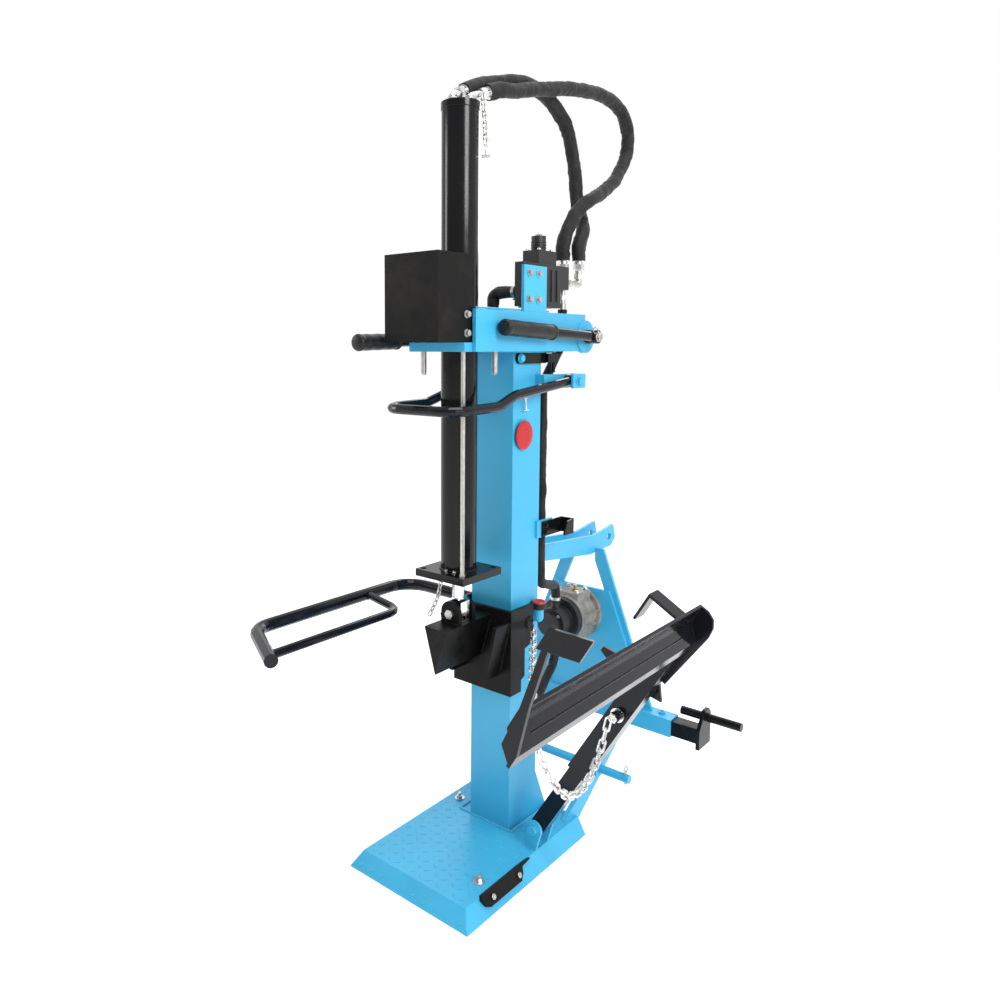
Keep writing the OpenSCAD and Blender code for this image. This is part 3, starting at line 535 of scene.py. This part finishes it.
# the routes of the two cylinder hoses, from the valve to the elbows on the barrel's cap
HOSE_LIFT = [(0.058, 0.378, 1.826), (0.058, 0.378, 1.870), (0.062, 0.392, 1.920), (0.072, 0.426, 1.975),
    (0.082, 0.488, 2.022), (0.078, 0.570, 2.058), (0.068, 0.650, 2.097), (0.056, 0.730, 2.150),
    (0.050, 0.790, 2.220), (0.050, 0.800, 2.290), (0.050, 0.770, 2.345), (0.050, 0.700, 2.378),
    (0.050, 0.610, 2.385), (0.050, 0.520, 2.378), (0.050, 0.420, 2.362), (0.050, 0.320, 2.340),
    (0.050, 0.220, 2.315), (0.050, 0.130, 2.290), (0.054, 0.045, 2.272), (0.042, 0.000, 2.257)]
HOSE_SPLIT = [(0.088, 0.422, 1.826), (0.088, 0.422, 1.870), (0.084, 0.450, 1.915), (0.062, 0.484, 1.955),
    (0.034, 0.502, 2.008), (0.022, 0.508, 2.060), (0.016, 0.508, 2.120), (0.014, 0.495, 2.180),
    (0.012, 0.470, 2.240), (0.008, 0.430, 2.290), (0.002, 0.380, 2.325), (-0.002, 0.320, 2.345),
    (-0.005, 0.250, 2.350), (-0.006, 0.180, 2.340), (-0.006, 0.110, 2.320), (-0.005, 0.040, 2.300),
    (-0.005, -0.020, 2.276), (-0.005, -0.050, 2.261)]
# radius over their sleeves, and how closely the points of any hose lie
HOSE_R = 0.0225
HOSE_STEP = 0.0045
# the fixed hoses: pump to valve, column to pump, and valve to column
PRESSURE = [(0, 0.461, 0.6821), (0, 0.461, 0.740), (0.060, 0.270, 0.800), (0.060, 0.270, 1.440),
    (0.058, 0.378, 1.560), (0.058, 0.378, 1.6719)]
SUCTION = [(0.048, 0.265, 0.2881), (0.048, 0.265, 0.400), (0, 0.461, 0.470), (0, 0.461, 0.5399)]
RETURN = [(-0.020, 0.115, 1.6551), (-0.020, 0.115, 1.715), (0.0699, 0.115, 1.715)]


def wrinkled(path, r, seed, depth):
    """The radius of a gathered textile sleeve: uneven cross folds, deep on the inside of a bend."""
    inward = []
    reach = 8
    for i, at in enumerate(path):
        a, b = path[max(0, i - reach)], path[min(len(path) - 1, i + reach)]
        inward.append(((a + b) / 2 - at) * 90)

    def radius(along, way, i):
        tight = min(2.2, 0.30 + 1.4 * max(0.0, inward[i].dot(way)))
        lean = 0.006 * noise.noise(Vector((along * 12, seed, 0))) * (way.x + way.z)
        spot = Vector(((along + lean) * 34, way.x * 0.8 + seed, way.z * 0.8 + way.y))
        fold = max(0.0, 1 - 3.2 * abs(noise.noise(spot)))
        slow = noise.noise(Vector((along * 8, seed + way.y, way.x * 0.8)))
        lump = max(0.0, noise.noise(Vector((along * 19, seed + 4 + 0.6 * way.z, way.y))))
        flat = noise.noise(Vector((along * 5, seed + 9, way.x * way.z * 2)))
        return r * (0.92 + depth * (fold - 0.3) * tight + 0.10 * slow + 0.20 * lump + 0.06 * flat)

    return radius


def sleeved(path, r, seed, depth=0.22):
    shape = Shape()
    shape.tube(path, wrinkled(path, r, seed, depth), 28)
    return shape


def hose_end(name, at, way, body, r=0.0175):
    """Crimped ferrule and swivel nut at a hose's end: way points out of the hose."""
    way = Vector(way).normalized()
    shape = Shape()
    profile = [(-0.030, r * 0.92), (-0.030, r * 1.06)]
    for k in range(5):
        start = -0.028 + k * 0.0055
        profile += [(start, r * 1.06), (start + 0.0018, r * 0.99), (start + 0.0036, r * 1.06)]
    profile += [(0.0, r * 1.02), (0.003, r * 0.74), (0.012, r * 0.74)]
    shape.lathe(at, way, profile)
    shape.hexagon(Vector(at) + way * 0.011, way, r * 1.75, 0.019)
    return shape.piece(name, body, "bright_zinc")


def make_cords():
    for name, body, at, way in (
        ("hose_lift_foot", "frame", HOSE_LIFT[0], (0, 0, -1)),
        ("hose_split_foot", "frame", HOSE_SPLIT[0], (0, 0, -1)),
        ("hose_lift_head", "barrel", HOSE_LIFT[-1], (-4, -15, -5)),
        ("hose_split_head", "barrel", HOSE_SPLIT[-1], (0, -2, -1)),
    ):
        hose_end(name, at, way, body)
    for name, node, route, seed in (("sleeve_lift", "hose_lift", HOSE_LIFT, 3.0),
            ("sleeve_split", "hose_split", HOSE_SPLIT, 11.0)):
        path = smooth_path(route, HOSE_STEP)
        piece = sleeved(path, HOSE_R, seed).piece(name, None, "hose_sleeve", sharp=80)
        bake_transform(piece)
        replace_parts(piece, node)


def make_fixed_hoses():
    for name, node, route, bend, r, seed in (
        ("sleeve_pressure", "pressure_hose", PRESSURE, 0.042, 0.0158, 5.0),
        ("sleeve_suction", "suction_hose", SUCTION, 0.055, 0.016, 7.0),
        ("sleeve_return", "return_hose", RETURN, 0.024, 0.0178, 9.0),
    ):
        path = rounded_path(route, bend, HOSE_STEP)
        piece = sleeved(path, r, seed, 0.2).piece(name, "frame", "hose_sleeve", sharp=80)
        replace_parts(piece, node)
    clamps = Shape()
    for at, way, r in (
        ((-0.020, 0.115, 1.664), (0, 0, 1), 0.0186),
        ((0.060, 0.115, 1.715), (1, 0, 0), 0.0190),
        ((0.048, 0.265, 0.300), (0, 0, 1), 0.0175),
        ((0, 0.461, 0.530), (0, 0, 1), 0.0175),
        ((0, 0.461, 0.694), (0, 0, 1), 0.0165),
    ):
        clamps.lathe(at, way, [(-0.005, r - 0.003), (-0.005, r), (0.005, r), (0.005, r - 0.003)])
        side = across(way)[1]
        clamps.block(Vector(at) + side * r - Vector((0.006, 0.005, 0.005)),
            Vector(at) + side * r + Vector((0.006, 0.005, 0.005)), 0.001)
    clamps.piece("hose_clamps", "frame", "zinc_steel")


# -- fittings and small metal ---------------------------------------------------------------------


def make_port_elbows():
    """The two forged elbows on the barrel's cap."""
    cap_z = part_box("barrel_cap")[1].z
    shape = Shape()
    for x, y, end in ((-0.005, -0.098, HOSE_SPLIT[-1]), (0.026, -0.060, HOSE_LIFT[-1])):
        corner = Vector((x, y, 2.237))
        way = (Vector(end) - corner).normalized()
        path = rounded_path([(x, y, cap_z - 0.002), corner, Vector(end) - way * 0.012], 0.014, 0.003)
        shape.tube(path, 0.0115, 24)
        shape.hexagon((x, y, cap_z), (0, 0, 1), 0.027, 0.012)
        shape.lathe((x, y, cap_z + 0.012), (0, 0, 1), [(0, 0.0125), (0.002, 0.014), (0.004, 0.0125)])
    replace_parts(shape.piece("forged_elbows", "barrel", "bright_zinc", sharp=50), "port_elbows")


def make_top_chain():
    """The short chain with its T-shaped toggle that hangs from the barrel's top."""
    start = Vector((0.050, -0.034, 2.247))
    foot = Vector((0.060, -0.030, 2.095))
    shape = Shape()
    shape.chain([start, start.lerp(foot, 0.5) + Vector((0.003, 0, 0)), foot], 0.026, 0.018, 0.0026)
    shape.tube([foot, foot - Vector((0, 0, 0.014))], 0.0024, 10)
    cross = Vector((0.011, 0.006, 0.001))
    shape.tube([foot - Vector((0, 0, 0.016)) - cross, foot - Vector((0, 0, 0.016)) + cross], 0.0046, 12)
    shape.tube([start + Vector((-0.012, 0.001, 0.004)), start + Vector((0.004, 0, 0.002))], 0.002, 8)
    shape.piece("top_chain", "barrel", "chain_steel")


def make_safety_chain():
    """The chain under the flange that hooks beside the wedge for transport."""
    flange_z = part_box("barrel")[0].z
    start = Vector((-0.046, -0.092, flange_z - 0.008))
    end = Vector((-0.062, -0.130, 0.768))
    middle = start.lerp(end, 0.5) + Vector((0.004, 0.006, -0.004))
    shape = Shape()
    shape.chain(smooth_path([start, middle, end], 0.01), 0.024, 0.015, 0.0022)
    shape.lathe(start + Vector((0, 0, 0.001)), (0, 0, 1), [(0, 0.004), (0.007, 0.004)], 12)
    shape.piece("safety_chain", "barrel", "chain_steel")


def make_nipples():
    """Two grease nipples on the flange, low enough to clear the head plate when the barrel is up."""
    shape = Shape()
    for x, y in ((0.000, -0.1245), (0.026, -0.1225)):
        shape.hexagon((x, y, FLANGE_TOP - 0.001), (0, 0, 1), 0.010, 0.0035)
        shape.lathe((x, y, FLANGE_TOP + 0.0015), (0, 0, 1), [(0, 0.0034), (0.0015, 0.0034),
            (0.0025, 0.0044), (0.004, 0.0044), (0.005, 0.002)], 16)
    shape.piece("grease_nipples", "barrel", "bright_zinc")


def make_column_hook():
    """The small T-shaped hook on the column's side where the top chain is kept."""
    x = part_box("column")[1].x
    shape = Shape()
    shape.tube([Vector((x + 0.003, 0.138, 1.402)), Vector((x + 0.004, 0.141, 1.366))], 0.0028, 12)
    shape.tube([Vector((x + 0.003, 0.130, 1.401)), Vector((x + 0.003, 0.146, 1.402))], 0.0022, 12)
    shape.tube([Vector((x + 0.004, 0.130, 1.365)), Vector((x + 0.004, 0.154, 1.367))], 0.0026, 12)
    shape.piece("column_hook", "frame", "bright_zinc")


def make_badge():
    """A plain red round plate, slightly crowned."""
    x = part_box("column")[1].x
    y, z = BADGE_AT
    wide, high, sides = 0.043, 0.044, 64
    shape = Shape()
    rings = []
    for lift, grow in ((0.0, 1.0), (0.0012, 1.0), (0.0018, 0.97), (0.0021, 0.6), (0.0022, 0.05)):
        rings.append([Vector((x + lift, y + wide * grow * math.cos(a), z + high * grow * math.sin(a)))
            for a in [2 * math.pi * k / sides for k in range(sides)]])
    shape.rings(rings)
    shape.piece("badge", "frame", "red_plastic", BADGE_RED)


def make_washers():
    """Washers and thread ends at the bolts that show."""
    shape = Shape()
    low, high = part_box("base_bolts")
    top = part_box("base_plate")[1].z
    for x, y in ((low.x + 0.0104, high.y - 0.009), (high.x - 0.0104, low.y + 0.009)):
        shape.lathe((x, y, top), (0, 0, 1), [(0, 0.017), (0.0022, 0.017), (0.0028, 0.0162)])
        shape.lathe((x, y, top + 0.012), (0, 0, 1), [(0, 0.0062), (0.006, 0.0062), (0.008, 0.005)], 16)
    # the claw's two bolts, square to the sloping rim
    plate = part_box("base_plate")
    slope = math.atan2(RIM, plate[1].z)
    out = Vector((math.cos(slope), 0, math.sin(slope)))
    up = Vector((-math.sin(slope), 0, math.cos(slope)))
    for y in (-0.176, -0.052):
        at = Vector((plate[1].x, y, 0)) + up * 0.040 + out * 0.0140
        shape.lathe(at, out, [(0, 0.0078), (0.0022, 0.0078), (0.0028, 0.0070)], 24)
        shape.lathe(at, out, [(0.002, 0.0060), (0.0045, 0.0056), (0.0060, 0.0042), (0.0060, 0.0022),
            (0.0036, 0.0018)], 20)
    shape.piece("base_washers", "frame", "zinc_steel")


# -- grips ----------------------------------------------------------------------------------------


def make_grip(node, body, rise):
    """A moulded grip: a rolled collar at each end, shallow finger waists and a domed tip."""
    low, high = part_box(node)
    r = (high.x - low.x) / 2
    x = (low.x + high.x) / 2
    back = Vector((x, high.y, (low.z if rise > 0 else high.z) + math.copysign(r, rise)))
    front = Vector((x, low.y, (high.z if rise > 0 else low.z) - math.copysign(r, rise)))
    way = (front - back).normalized()
    long = (front - back).length
    shape = Shape()
    profile = [(0.0, r * 0.72), (0.0, r * 0.94), (0.002, r * 0.99), (0.008, r * 0.99), (0.011, r * 0.86)]
    waists = 3
    for k in range(48):
        t = k / 47
        wave = 0.5 - 0.5 * math.cos(2 * math.pi * waists * t)
        profile.append((0.013 + t * (long - 0.032), r * (0.93 + 0.03 * wave)))
    profile += [(long - 0.016, r * 0.98), (long - 0.009, r * 0.99), (long - 0.004, r * 0.9),
        (long - 0.001, r * 0.65), (long, r * 0.2)]
    shape.lathe(back, way, profile, 40)
    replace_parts(shape.piece(node + "_rubber", body, "rubber_grip", sharp=60), node)


# -- welds ----------------------------------------------------------------------------------------


def rectangle(low, high, z):
    return [(low[0], low[1], z), (high[0], low[1], z), (high[0], high[1], z), (low[0], high[1], z)]


def circle(at, axis, r, count=48):
    side, up = across(axis)
    return [Vector(at) + side * r * math.cos(a) + up * r * math.sin(a)
        for a in [2 * math.pi * k / count for k in range(count)]]


def make_frame_welds():
    low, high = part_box("column")
    base_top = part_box("base_plate")[1].z
    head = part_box("head_plate")
    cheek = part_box("right_cheek")
    shape = Shape()
    shape.bead(rectangle(low, high, base_top + 0.001), 0.0042, 0.006, True)
    shape.bead(rectangle(low, high, head[0].z - 0.001), 0.0034, 0.005, True)
    for side in (-1, 1):
        x = side * cheek[0].x
        shape.bead([(x, -0.125, head[1].z - 0.001), (x, 0.235, head[1].z - 0.001)], 0.0026)
        shape.bead([(side * 0.100, 0.238, 1.545), (side * 0.100, 0.238, 1.565)], 0.0026)
        # mast bars to the column, struts to the crossbeam and the ears
        for x in (side * 0.032, side * 0.044):
            shape.bead([(x, high.y + 0.001, 0.872), (x, high.y + 0.001, 0.920)], 0.003)
        shape.bead([(side * 0.239, 0.6445, 0.311), (side * 0.275, 0.6445, 0.311)], 0.003)
        shape.bead([(side * 0.239, 0.6575, 0.311), (side * 0.275, 0.6575, 0.311)], 0.003)
        shape.bead([(side * 0.164, 0.612, 0.249), (side * 0.164, 0.676, 0.249)], 0.003)
        shape.bead([(side * 0.180, 0.612, 0.249), (side * 0.180, 0.676, 0.249)], 0.003)
        shape.bead([(side * 0.180, 0.255, base_top), (side * 0.180, 0.300, base_top)], 0.003)
    shape.bead([(-0.245, 0.6325, 0.311), (0.245, 0.6325, 0.311)], 0.003)
    for y in (0.063, 0.073, 0.127, 0.137):
        shape.bead([(0.160, y, base_top + 0.001), (0.194, y, base_top + 0.001)], 0.0026)
    shape.bead(circle((0.0755, 0.205, 0.715), (1, 0, 0), 0.0168), 0.0026, 0.0045, True)
    for z in (1.427, 1.469):
        for side in (-1, 1):
            shape.bead([(side * 0.0762, 0.207, z), (side * 0.0762, 0.231, z)], 0.0024)
    shape.piece("frame_welds", "frame", "blue_paint")


def make_moving_welds():
    barrel = Shape()
    barrel.bead(circle((0, BARREL_Y, 0.912), (0, 0, 1), 0.0535, 72), 0.0036, 0.0055, True)
    barrel.bead(circle((0, BARREL_Y, 2.2045), (0, 0, 1), 0.0528, 72), 0.0016, 0.004, True)
    barrel.piece("barrel_welds", "barrel", "gloss_black")
    wedge = Shape()
    top = 0.7535
    for y in (-0.108, -0.044):
        for edge in (y - 0.0005, y + 0.0125):
            wedge.bead([(-0.033, edge, top), (0.033, edge, top)], 0.003)
    for side in (-1, 1):
        wedge.bead([(side * 0.0395, 0.042, 0.750), (side * 0.002, 0.042, 0.620)], 0.0034)
        for x in (0.0945, 0.1070):
            wedge.bead([(side * x, 0.0425, 0.738), (side * (x - 0.037), 0.0425, 0.572)], 0.003)
    wedge.piece("wedge_welds", "wedge", "black_paint", WORN_BLACK)
    arm = Shape()
    arm.bead(circle((-0.1255, 0.195, 0.725), (1, 0, 0), 0.0202, 40), 0.003, 0.005, True)
    arm.bead(circle((-0.4325, -0.011, 0.725), (0.966, -0.26, 0), 0.0135, 32), 0.0026, 0.005, True)
    arm.piece("log_arm_welds", "log_arm", "black_paint")


# -- base -----------------------------------------------------------------------------------------


def lug(shape, at, along, up, length, width, height):
    """One raised tread mark: a low lens-shaped dome."""
    u, n = Vector(along).normalized(), Vector(up).normalized()
    w = n.cross(u)
    rings = []
    for lift, grow in ((-0.0004, 1.0), (height * 0.55, 0.84), (height * 0.95, 0.5), (height, 0.1)):
        ring = []
        for k in range(16):
            a = 2 * math.pi * k / 16
            taper = abs(math.sin(a)) ** 1.5 * math.copysign(1, math.sin(a))
            ring.append(Vector(at) + u * math.cos(a) * length / 2 * grow
                + w * taper * width / 2 * grow + n * lift)
        rings.append(ring)
    shape.rings(rings)


def make_tread():
    """Crossed tread marks on the base plate, left out where something stands on it."""
    low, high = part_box("base_plate")
    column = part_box("column")
    clear = 0.018
    shape = Shape()
    pitch = 0.031
    rows = int((high.y - low.y - RIM) / pitch)
    columns = int((high.x - low.x - 2 * RIM) / pitch)
    for i in range(columns):
        for j in range(rows):
            x = low.x + RIM + pitch * (i + 0.7)
            y = low.y + RIM + pitch * (j + 0.7)
            in_column = (column[0].x - clear < x < column[1].x + clear
                and column[0].y - clear < y < column[1].y + clear)
            at_ears = x > 0.148 and 0.04 < y < 0.16
            at_claw = x > 0.17 and -0.23 < y < -0.06
            at_bolts = min((Vector((x, y)) - Vector(b)).length
                for b in ((-0.155, 0.132), (0.151, -0.158))) < 0.03
            at_legs = x * x > 0.148 ** 2 and y > 0.24
            if in_column or at_ears or at_claw or at_bolts or at_legs:
                continue
            turn = math.radians(45 if (i + j) % 2 else -45)
            lug(shape, (x, y, high.z), (math.cos(turn), math.sin(turn), 0), (0, 0, 1), 0.024, 0.0062, 0.0013)
    # one row on the front slope
    slope = Vector((0, -(high.z - low.z), RIM)).normalized()
    count = 10
    for k in range(count):
        x = (k + 0.5 - count / 2) * 0.042
        t = 0.30
        at = (x, low.y + RIM * t, (high.z - low.z) * t)
        lug(shape, at, (0.75, slope.z * 0.66, -slope.y * 0.66), slope, 0.028, 0.008, 0.0016)
    shape.piece("tread_marks", "frame", "blue_paint")


# -- filler cap, gearbox and valve dress-up -------------------------------------------------------


def make_filler_cap():
    low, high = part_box("filler_cap")
    x, y = (low.x + high.x) / 2, (low.y + high.y) / 2
    r = (high.x - low.x) / 2
    ribs = Shape()
    rings = []
    count = 72
    for z, grow in ((low.z, 0.9), (low.z + 0.002, 1.0), (high.z - 0.008, 1.0), (high.z - 0.006, 0.94)):
        rings.append([Vector((x, y, z)) + Vector((math.cos(a), math.sin(a), 0)) * r * grow
            * (1 - 0.035 * (k % 3 == 0)) for k, a in ((k, 2 * math.pi * k / count) for k in range(count))])
    ribs.rings(rings)
    ribs.piece("cap_ribs", "cap", "red_plastic", BLACK_PLASTIC)
    top = Shape()
    top.lathe((x, y, high.z - 0.0065), (0, 0, 1), [(0, r * 0.93), (0.003, r * 0.93), (0.0055, r * 0.86),
        (0.0062, r * 0.5), (0.0064, r * 0.05)], 48)
    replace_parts(top.piece("cap_top", "cap", "red_plastic"), "filler_cap")


def make_gearbox_dress():
    """Cast ribs on the gearbox, and the screws of its cover and of the pump."""
    low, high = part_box("gearbox")
    inner, outer, thick = 0.060, 0.0745, 0.0032
    ribs = Shape()
    for k in range(10):
        a = math.radians(36 * k + 12)
        way = Vector((math.cos(a), 0, math.sin(a)))
        side = Vector((-math.sin(a), 0, math.cos(a))) * thick
        # the top carries the breather and is left smooth
        if abs(way.x) < 0.75 and way.z > 0:
            continue
        corners = []
        for behind, reach in ((0.013, outer + 0.006), (0.055, outer), (0.097, outer - 0.002)):
            hub = Vector((0, high.y - behind, GEAR_Z))
            corners.append([hub + way * inner + side, hub + way * reach + side * 0.6,
                hub + way * reach - side * 0.6, hub + way * inner - side])
        ribs.rings(corners)
    ribs.piece("gearbox_ribs", "frame", "cast_grey")
    screws = Shape()
    for k in range(6):
        a = math.radians(60 * k + 30)
        at = Vector((0.064 * math.cos(a), low.y + 0.0005, GEAR_Z + 0.064 * math.sin(a)))
        screws.lathe(at, (0, -1, 0), [(0, 0.0065), (0.006, 0.0065), (0.0068, 0.0058), (0.0068, 0.0032),
            (0.004, 0.003)], 20)
    for k in range(4):
        a = math.radians(90 * k + 45)
        at = Vector((0.043 * math.cos(a), 0.4315, GEAR_Z + 0.043 * math.sin(a)))
        screws.lathe(at, (0, -1, 0), [(0, 0.0055), (0.005, 0.0055), (0.0058, 0.0048), (0.0058, 0.003),
            (0.003, 0.003)], 20)
    screws.piece("gearbox_screws", "frame", "zinc_steel")


def make_valve_dress():
    """Cap screws and relief screw of the control valve, and the ribs of its casting and cap."""
    x_cap, y_cap = VALVE_CAP
    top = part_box("valve_block")[1].z
    bolts = Shape()
    for x in (0.042, 0.084):
        for y in (0.202, 0.268):
            bolts.lathe((x, y, 1.8415), (0, 0, 1), [(0, 0.0055), (0.006, 0.0055), (0.0068, 0.0046),
                (0.0068, 0.0026), (0.004, 0.0026)], 20)
    bolts.hexagon((x_cap, y_cap, top), (0, 0, 1), 0.018, 0.007)
    bolts.lathe((x_cap, y_cap, top + 0.006), (0, 0, 1), [(0, 0.004), (0.005, 0.004)], 16)
    bolts.piece("valve_screws", "frame", "zinc_steel")
    ribs = Shape()
    for y in (0.215, 0.245, 0.275):
        ribs.block((0.022, y, 1.690), (0.104, y + 0.010, 1.786), 0.002)
    for z in (1.850, 1.858, 1.866):
        ribs.lathe((x_cap, y_cap, z), (0, 0, 1), [(0, 0.022), (0.001, 0.0235), (0.004, 0.0235),
            (0.005, 0.022)])
    ribs.piece("valve_ribs", "frame", "black_casting")


def make_lever_clips():
    """Bolts and spring clips where the control levers turn."""
    for side, body in ((1, "right_lever"), (-1, "left_lever")):
        shape = Shape()
        x = side * 0.1605
        shape.hexagon((x, 0.430, LEVER_PIVOT_Z), (side, 0, 0), 0.024, 0.010)
        shape.lathe((x - side * 0.0005, 0.430, LEVER_PIVOT_Z), (side, 0, 0), [(0, 0.017), (0.002, 0.017)])
        ring = circle((side * 0.168, 0.400, 1.604), (0.2 * side, 1, 0.2), 0.010, 24)
        shape.tube(ring, 0.0014, 8, True)
        shape.piece(body + "_clip", body, "zinc_steel")


def make_arm_shackle():
    """The washer and bolt that hold the slack chain on the lifting arm."""
    slope = math.radians(LIFTER_SLOPE)
    up = Vector((math.cos(slope), 0, math.sin(slope)))
    at = Vector(LIFTER_HINGE) + up * LIFTER_LUG
    shape = Shape()
    shape.lathe(at - Vector((0, 0.0305, 0)), (0, -1, 0), [(0, 0.020), (0.003, 0.020), (0.003, 0.015)])
    shape.hexagon(at - Vector((0, 0.052, 0)), (0, -1, 0), 0.024, 0.010)
    shape.piece("arm_shackle", "lifter", "bright_zinc")


# -- floor ----------------------------------------------------------------------------------------


def make_floor():
    mesh = bpy.data.meshes.new("floor")
    reach = 30
    mesh.from_pydata([(-reach, -reach, 0), (reach, -reach, 0), (reach, reach, 0), (-reach, reach, 0)], [],
        [(0, 1, 2, 3)])
    s = Shader("floor_paper", Specular_IOR_Level=0.2, Emission_Color=(1.0, 1.0, 1.0), Emission_Strength=0.32)
    s.put(s.bsdf, "Base Color", s.mix(s.noise(0.8, 3.0), (0.90, 0.90, 0.90), (0.88, 0.88, 0.885)))
    s.put(s.bsdf, "Roughness", s.range(s.noise(20.0), 0.3, 0.7, 0.75, 0.85))
    mesh.materials.append(s.finish())
    floor = bpy.data.objects.new("floor", mesh)
    bpy.context.scene.collection.objects.link(floor)


make_camera()
make_cords()
make_lights()
make_surround()
make_floor()
paint_nodes()
make_fixed_hoses()
make_port_elbows()
make_top_chain()
make_safety_chain()
make_nipples()
make_column_hook()
make_badge()
make_washers()
make_grip("right_grip", "right_lever", 1)
make_grip("left_grip", "left_lever", -1)
make_frame_welds()
make_moving_welds()
make_tread()
make_filler_cap()
make_gearbox_dress()
make_valve_dress()
make_lever_clips()
make_arm_shackle()
